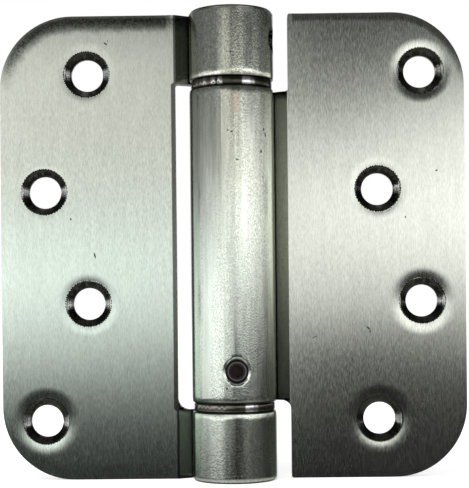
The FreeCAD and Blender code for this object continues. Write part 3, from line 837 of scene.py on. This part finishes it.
def relaid_front(shape, side, holes):
    """Replaces the faces of the flat front by small even triangles between the same border points."""
    flat = [face for face in shape.faces
            if face.normal.y < -0.999 and all(abs(point.co.y - FRONT_FACE) < 0.002 * MM
                                              and abs(point.co.x) > BEND_START - 0.002 * MM for point in face.verts)]
    inside = set(flat)
    border = [edge for edge in shape.edges if sum(face in inside for face in edge.link_faces) == 1]
    border_points = list({point for edge in border for point in edge.verts})
    number = {point: index for index, point in enumerate(border_points)}
    joined = [tuple(number[point] for point in edge.verts) for edge in border]
    bmesh.ops.delete(shape, geom=flat, context="FACES")
    places = [Vector((point.co.x, point.co.z)) / MM for point in border_points]
    places += [Vector(place) / MM for place in front_points(side, holes)]
    spread, _, triangles, origins, _, _ = delaunay_2d_cdt(places, joined, [], 1, 0.0001)
    corners = []
    for place, origin in zip(spread, origins):
        known = [index for index in origin if index < len(border_points)]
        corners.append(border_points[known[0]] if known else
                       shape.verts.new((place.x * MM, FRONT_FACE, place.y * MM)))
    for triangle in triangles:
        middle = sum((corners[index].co for index in triangle), Vector()) / 3
        if all(math.hypot(middle.x - hole_x, middle.z - hole_z) > HOLE_RADIUS + 0.07 * MM for hole_x,
               hole_z in holes):
            shape.faces.new([corners[index] for index in triangle])


def planned_normal(point, holes, dishes, roll_off):
    """The exact direction of the front face and of the countersinks at a point, or nothing elsewhere."""
    x, y, z = point
    if abs(x) < BEND_START - 0.002 * MM:
        return None
    step = 0.02 * MM

    def front():
        along_x = sunk(x + step, z, holes, dishes, roll_off) - sunk(x - step, z, holes, dishes, roll_off)
        along_z = sunk(x, z + step, holes, dishes, roll_off) - sunk(x, z - step, holes, dishes, roll_off)
        return Vector((along_x, -2 * step, along_z)).normalized()
    if abs(y - FRONT_FACE) < 0.002 * MM:
        return front()
    for hole_x, hole_z in holes:
        out, up = x - hole_x, z - hole_z
        reach = math.hypot(out, up)
        if reach < HOLE_RADIUS + 0.1 * MM and reach > 3.6 * MM and y < FRONT_FACE + 1.7 * MM:
            cone = Vector((-out / reach * math.cos(CONE_SLOPE), -math.sin(CONE_SLOPE),
                           -up / reach * math.cos(CONE_SLOPE)))
            if abs(HOLE_RADIUS - (y - FRONT_FACE) * math.tan(CONE_SLOPE) - reach) < 0.012 * MM and reach < HOLE_RADIUS - 0.04 * MM:
                return cone
            return (cone + front()).normalized()
    return None


def dressed_leaf(name, body, holes, dishes, roll_off):
    """The leaf's own shape, cut into small cells so that it can be dished and rolled off."""
    shape = bmesh.new()
    shape.from_mesh(nodes[name].data)
    bmesh.ops.remove_doubles(shape, verts=shape.verts, dist=0.001 * MM)
    bmesh.ops.dissolve_limit(shape, angle_limit=math.radians(0.3), verts=shape.verts, edges=shape.edges)
    for of_outline, width, segments in ((True, 0.3 * MM, 3), (False, 0.09 * MM, 2)):
        shape.normal_update()
        edges = sharp_edges(shape, holes, of_outline)
        bmesh.ops.bevel(shape, geom=edges, offset=width, offset_type="OFFSET", segments=segments, profile=0.5,
                        affect="EDGES", clamp_overlap=True)
    side = 1 if holes[0][0] > 0 else -1
    ends = (KNUCKLE_END, -KNUCKLE_END) if side < 0 else (LONG_BARREL_END, -LONG_BARREL_END)
    cuts = [(Vector((0, 0, -HALF_HEIGHT + CELL * step)), Vector((0, 0, 1)))
            for step in range(1, round(2 * HALF_HEIGHT / CELL))]
    cuts += [(Vector((side * (BEND_START + CELL * (step + 0.5)), 0, 0)), Vector((1, 0, 0)))
             for step in range(round((HALF_WIDTH - BEND_START) / CELL))]
    cuts += [(Vector((side * (BEND_CORNER + offset * MM), 0, 0)), Vector((1, 0, 0))) for offset in (-0.2, 0,
                                                                                                    0.2, 0.7)]
    cuts += [(Vector((0, 0, math.copysign(abs(end) - side * inward * MM, end))), Vector((0, 0, 1)))
             for end in ends for inward in LIP_CUTS]
    for place, normal in cuts:
        bmesh.ops.bisect_plane(shape, geom=shape.verts[:] + shape.edges[:] + shape.faces[:],
                               plane_co=place, plane_no=normal, dist=0.002 * MM)
    shape.normal_update()
    relaid_front(shape, side, holes)
    shape.normal_update()
    for face in shape.faces:
        face.material_index = leaf_face_kind(face, holes)
        face.smooth = True
    shape.verts.index_update()
    planned = {point.index: planned_normal(point.co, holes, dishes, roll_off) for point in shape.verts}
    for point in shape.verts:
        point.co.y = sharper_bend(point.co)
        turned_in_lip(point.co, ends)
        if abs(point.co.x) > BEND_START and FRONT_FACE - 0.003 * MM < point.co.y < FRONT_FACE + 0.4 * MM:
            share = 1 - (point.co.y - FRONT_FACE) / (0.4 * MM)
            point.co.y += share * sunk(point.co.x, point.co.z, holes, dishes, roll_off)
    mesh = bpy.data.meshes.new(name + "_dressed")
    shape.to_mesh(mesh)
    shape.free()
    mesh.set_sharp_from_angle(angle=math.radians(32))
    piece = bpy.data.objects.new(name + "_dressed", mesh)
    bpy.context.scene.collection.objects.link(piece)
    for material in LEAF_FINISHES:
        mesh.materials.append(material)
    even = piece.modifiers.new("even", "WEIGHTED_NORMAL")
    even.keep_sharp = True
    evened = piece.evaluated_get(bpy.context.evaluated_depsgraph_get()).data
    directions = [planned[loop.vertex_index] or direction.vector.copy()
                  for loop, direction in zip(mesh.loops, evened.corner_normals)]
    piece.modifiers.remove(even)
    mesh.normals_split_custom_set(directions)
    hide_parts(name)
    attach(piece, body)


LEAF_FINISHES = (LEAF_STEEL, COUNTERSINK_STEEL, SHEARED_STEEL, BARREL_STEEL)
dressed_leaf("frame_leaf", "frame_side", FRAME_HOLES, FRAME_DISHES, FRAME_ROLL_OFF)
dressed_leaf("door_leaf", "door_side", DOOR_HOLES, DOOR_DISHES, DOOR_ROLL_OFF)


# Studio

FLOOR_HEIGHT = -HALF_HEIGHT


def mesh_object(name, build):
    mesh = bpy.data.meshes.new(name)
    shape = bmesh.new()
    build(shape)
    shape.to_mesh(mesh)
    shape.free()
    piece = bpy.data.objects.new(name, mesh)
    bpy.context.scene.collection.objects.link(piece)
    return piece


def floor():
    def build(shape):
        bmesh.ops.create_grid(shape, x_segments=1, y_segments=1, size=20.0)
    piece = mesh_object("floor", build)
    piece.location.z = FLOOR_HEIGHT
    material = bpy.data.materials.new("pale_floor")
    material.use_nodes = True
    tree = material.node_tree
    shader = tree.nodes["Principled BSDF"]
    shader.inputs["Base Color"].default_value = (0.86, 0.86, 0.86, 1)
    shader.inputs["Roughness"].default_value = 0.9
    shader.inputs["Specular IOR Level"].default_value = 0.0
    path = tree.nodes.new("ShaderNodeLightPath")
    seen = math_node(tree, "MAXIMUM", path.outputs["Is Camera Ray"], path.outputs["Is Glossy Ray"])
    seen = math_node(tree, "MAXIMUM", seen, path.outputs["Is Transmission Ray"])
    glow = math_node(tree, "MULTIPLY", seen, 0.5)
    shader.inputs["Emission Color"].default_value = grey(1.0)
    tree.links.new(glow, shader.inputs["Emission Strength"])
    piece.data.materials.append(material)
    piece.visible_glossy = False


def level_ramp(tree, value, low, high, levels):
    """A smooth curve through (value, level) points, the highest level being BRIGHTEST."""
    ramp = tree.nodes.new("ShaderNodeValToRGB")
    ramp.color_ramp.interpolation = "B_SPLINE"
    tree.links.new(map_range(tree, value, low, high, smooth=False), ramp.inputs["Fac"])
    points = ramp.color_ramp.elements
    points.remove(points[1])
    points[0].position = (levels[0][0] - low) / (high - low)
    points[0].color = grey(levels[0][1] / BRIGHTEST)
    for place, level in levels[1:]:
        point = points.new((place - low) / (high - low))
        point.color = grey(level / BRIGHTEST)
    return math_node(tree, "MULTIPLY", ramp.outputs["Color"], BRIGHTEST)


# The light card round the hinge. Height is over distance, and azimuth is from the front toward +X in degrees.
BRIGHTEST = 1.9
FAR_LEFT_LEVELS = [(-0.17, 0.15), (-0.119, 0.15), (-0.094, 1.05), (-0.07, 1.5),
                   (-0.045, 1.62), (-0.017, 1.72), (0.008, 1.74), (0.033, 1.55), (0.057, 1.15), (0.082, 0.72),
                   (0.131, 0.36), (0.18, 0.25), (0.229, 0.2), (0.337, 0.15), (0.6, 0.14)]
LEFT_LEVELS = [(-0.17, 0.04), (-0.119, 0.02), (-0.094, 0.13), (-0.07, 0.32),
               (-0.045, 0.68), (-0.017, 1.08), (0.008, 1.34), (0.033, 1.38), (0.057, 1.2), (0.082, 1),
               (0.131, 0.9),
               (0.18, 0.98), (0.205, 0.95), (0.229, 0.58), (0.265, 0.16), (0.337, 0.08), (0.6, 0.14)]
RIGHT_LEVELS = [(-0.17, 0.01), (-0.119, 0.015), (-0.094, 0.02), (-0.07, 0.03),
                (-0.045, 0.0), (-0.03, 0.1), (-0.017, 0.54), (0.008, 1), (0.033, 1.2), (0.057, 1.45),
                (0.082, 1.55),
                (0.107, 1.25), (0.131, 0.93), (0.156, 0.38), (0.18, 0.02), (0.205, 0.0), (0.229, 0.0),
                (0.265, 0.01), (0.337, 0.04), (0.6, 0.14)]
FAR_RIGHT_LEVELS = [(-0.17, 0.04), (-0.119, 0.03), (-0.094, 0.045), (-0.07, 0.065),
                    (-0.045, 0.15), (-0.017, 0.62), (0.008, 1.12), (0.033, 1.5), (0.057, 1.75), (0.082, 1.78),
                    (0.131, 1.5), (0.156, 1.25), (0.18, 0.8), (0.205, 0.35), (0.229, 0.1), (0.265, 0.06),
                    (0.337, 0.06), (0.6, 0.14)]
ROUND_RIGHT_LEVELS = [(-0.17, 0.1), (-0.119, 0.09), (-0.094, 0.07), (-0.07, 0.05),
                      (-0.045, 0.06), (-0.017, 0.2), (0.008, 0.8), (0.033, 1.4), (0.057, 1.75), (0.082, 1.85),
                      (0.107, 1.6), (0.131, 1.15), (0.156, 0.48), (0.18, 0.16), (0.205, 0.12), (0.229, 0.14),
                      (0.337, 0.06), (0.6, 0.14)]
ROUND_LEVELS = [(-180, 0.95), (-160, 0.9), (-155, 0.02), (-146, 0.02), (-132, 0.6), (-96, 0.68), (-74, 0.8),
                (-55, 0.95),
                (-37, 0.98), (-22, 1.08), (-13, 1.2), (-6, 0.92), (8, 0.9), (18, 0.97), (27, 1.07),
                (38, 1.25), (50, 1.1), (64, 0.98),
                (84, 0.67), (108, 0.35), (132, 0.4), (146, 0.02), (155, 0.02), (160, 0.9), (180, 0.95)]
CARD_RADIUS = 6.0
CARD_HEIGHT = 14.0


def light_card_material():
    """A bright band all round that fades up and down, lower on the left than on the right."""
    material = bpy.data.materials.new("light_card")
    material.use_nodes = True
    tree = material.node_tree
    tree.nodes.clear()
    x, y, z = separated(tree, tree.nodes.new("ShaderNodeNewGeometry").outputs["Position"])
    squares = math_node(tree, "ADD", math_node(tree, "MULTIPLY", x, x), math_node(tree, "MULTIPLY", y, y))
    rise = math_node(tree, "DIVIDE", z, math_node(tree, "SQRT", squares))
    azimuth = math_node(tree, "ARCTAN2", x, math_node(tree, "MULTIPLY", y, -1.0))
    side = math_node(tree, "SINE", azimuth)
    azimuth = math_node(tree, "DEGREES", azimuth)
    far_left, left, right, far_right, round_right = (
        level_ramp(tree, rise, -0.6, 0.6, levels)
        for levels in (FAR_LEFT_LEVELS, LEFT_LEVELS, RIGHT_LEVELS, FAR_RIGHT_LEVELS, ROUND_RIGHT_LEVELS))
    level = far_left
    for after, start, end in ((left, -0.65, -0.32), (right, -0.03, 0.04), (far_right, 0.085, 0.16),
                              (round_right, 0.3, 0.5)):
        level = blend_values(tree, map_range(tree, side, start, end), level, after)
    behind = map_range(tree, math_node(tree, "ABSOLUTE", azimuth), 122, 138)
    level = blend_values(tree, behind, level, 0.8)
    glow = math_node(tree, "MULTIPLY", level, level_ramp(tree, azimuth, -180, 180, ROUND_LEVELS))
    pale_floor = map_range(tree, rise, -1.5, -0.2, 0.75, 0.45)
    glow = blend_values(tree, map_range(tree, rise, -0.42, -0.2, 1.0, 0.0), glow, pale_floor)
    overhead = map_range(tree, rise, 1.0, 2.2, 0.0, 0.3)
    emission = tree.nodes.new("ShaderNodeEmission")
    tree.links.new(math_node(tree, "ADD", glow, overhead), emission.inputs["Strength"])
    output = tree.nodes.new("ShaderNodeOutputMaterial")
    tree.links.new(emission.outputs[0], output.inputs["Surface"])
    return material


def light_card():
    """A round room that only shows in reflections."""
    turns = 96
    profile = [(0.01, -CARD_HEIGHT), (CARD_RADIUS, -CARD_HEIGHT), (CARD_RADIUS, CARD_HEIGHT),
               (0.01, CARD_HEIGHT)]

    def build(shape):
        rings = []
        for radius, height in profile:
            ring = []
            for step in range(turns):
                angle = 2 * math.pi * step / turns
                ring.append(shape.verts.new((radius * math.cos(angle), radius * math.sin(angle), height)))
            rings.append(ring)
        for low, high in zip(rings, rings[1:]):
            for step in range(turns):
                after = (step + 1) % turns
                shape.faces.new((low[step], low[after], high[after], high[step]))
    piece = mesh_object("light_card", build)
    piece.data.materials.append(light_card_material())
    for flag in ("visible_camera", "visible_diffuse", "visible_shadow", "visible_transmission"):
        setattr(piece, flag, False)


def world():
    """White for what is seen directly or in metal, and a plain level for everything else."""
    scene_world = bpy.data.worlds.new("studio")
    bpy.context.scene.world = scene_world
    scene_world.use_nodes = True
    tree = scene_world.node_tree
    background = tree.nodes["Background"]
    path = tree.nodes.new("ShaderNodeLightPath")
    seen = math_node(tree, "MAXIMUM", path.outputs["Is Camera Ray"], path.outputs["Is Glossy Ray"])
    seen = math_node(tree, "MAXIMUM", seen, path.outputs["Is Transmission Ray"])
    background.inputs["Color"].default_value = grey(1.0)
    tree.links.new(map_range(tree, seen, 0.0, 1.0, 0.7, 1.0, smooth=False), background.inputs["Strength"])


def key_light():
    lamp = bpy.data.lights.new("softbox", "AREA")
    lamp.shape = "RECTANGLE"
    lamp.size = 0.9
    lamp.size_y = 0.6
    lamp.energy = 9.0
    holder = bpy.data.objects.new("softbox", lamp)
    holder.location = (-0.35, -0.55, 1.1)
    holder.rotation_euler = (Vector((0, 0, 0)) - holder.location).to_track_quat("-Z", "Y").to_euler()
    holder.visible_glossy = False
    bpy.context.scene.collection.objects.link(holder)


# The camera, fitted to the places of the holes and edges in the photograph
FRAME_HEIGHT_PX = 488
CAMERA_PLACE = Vector((0.00372, -0.280, -0.01307))
CAMERA_LOOKS_UP = 0.00145
CAMERA_TURN = -0.0120
CAMERA_ROLL = -0.01054
CAMERA_LENS = 94.607
CENTRE_OFFSET_PX = (0.71, 60.03)


def camera():
    lens = bpy.data.cameras.new("camera")
    lens.sensor_fit = "VERTICAL"
    lens.sensor_height = 36.0
    lens.lens = CAMERA_LENS
    lens.shift_x = -CENTRE_OFFSET_PX[0] / FRAME_HEIGHT_PX
    lens.shift_y = CENTRE_OFFSET_PX[1] / FRAME_HEIGHT_PX
    lens.clip_start = 0.01
    lens.clip_end = 60.0
    holder = bpy.data.objects.new("camera", lens)
    turn = Matrix.Rotation(-CAMERA_TURN, 3, "Z")
    forward = turn @ Vector((0, math.cos(CAMERA_LOOKS_UP), math.sin(CAMERA_LOOKS_UP)))
    upright = turn @ Vector((0, -math.sin(CAMERA_LOOKS_UP), math.cos(CAMERA_LOOKS_UP)))
    level = forward.cross(upright)
    right = level * math.cos(CAMERA_ROLL) + upright * math.sin(CAMERA_ROLL)
    up = upright * math.cos(CAMERA_ROLL) - level * math.sin(CAMERA_ROLL)
    facing = Matrix((right, up, -forward)).transposed().to_4x4()
    holder.matrix_world = Matrix.Translation(CAMERA_PLACE) @ facing
    bpy.context.scene.collection.objects.link(holder)
    bpy.context.scene.camera = holder


floor()
light_card()
world()
key_light()
camera()
bpy.context.scene.view_settings.view_transform = "Standard"
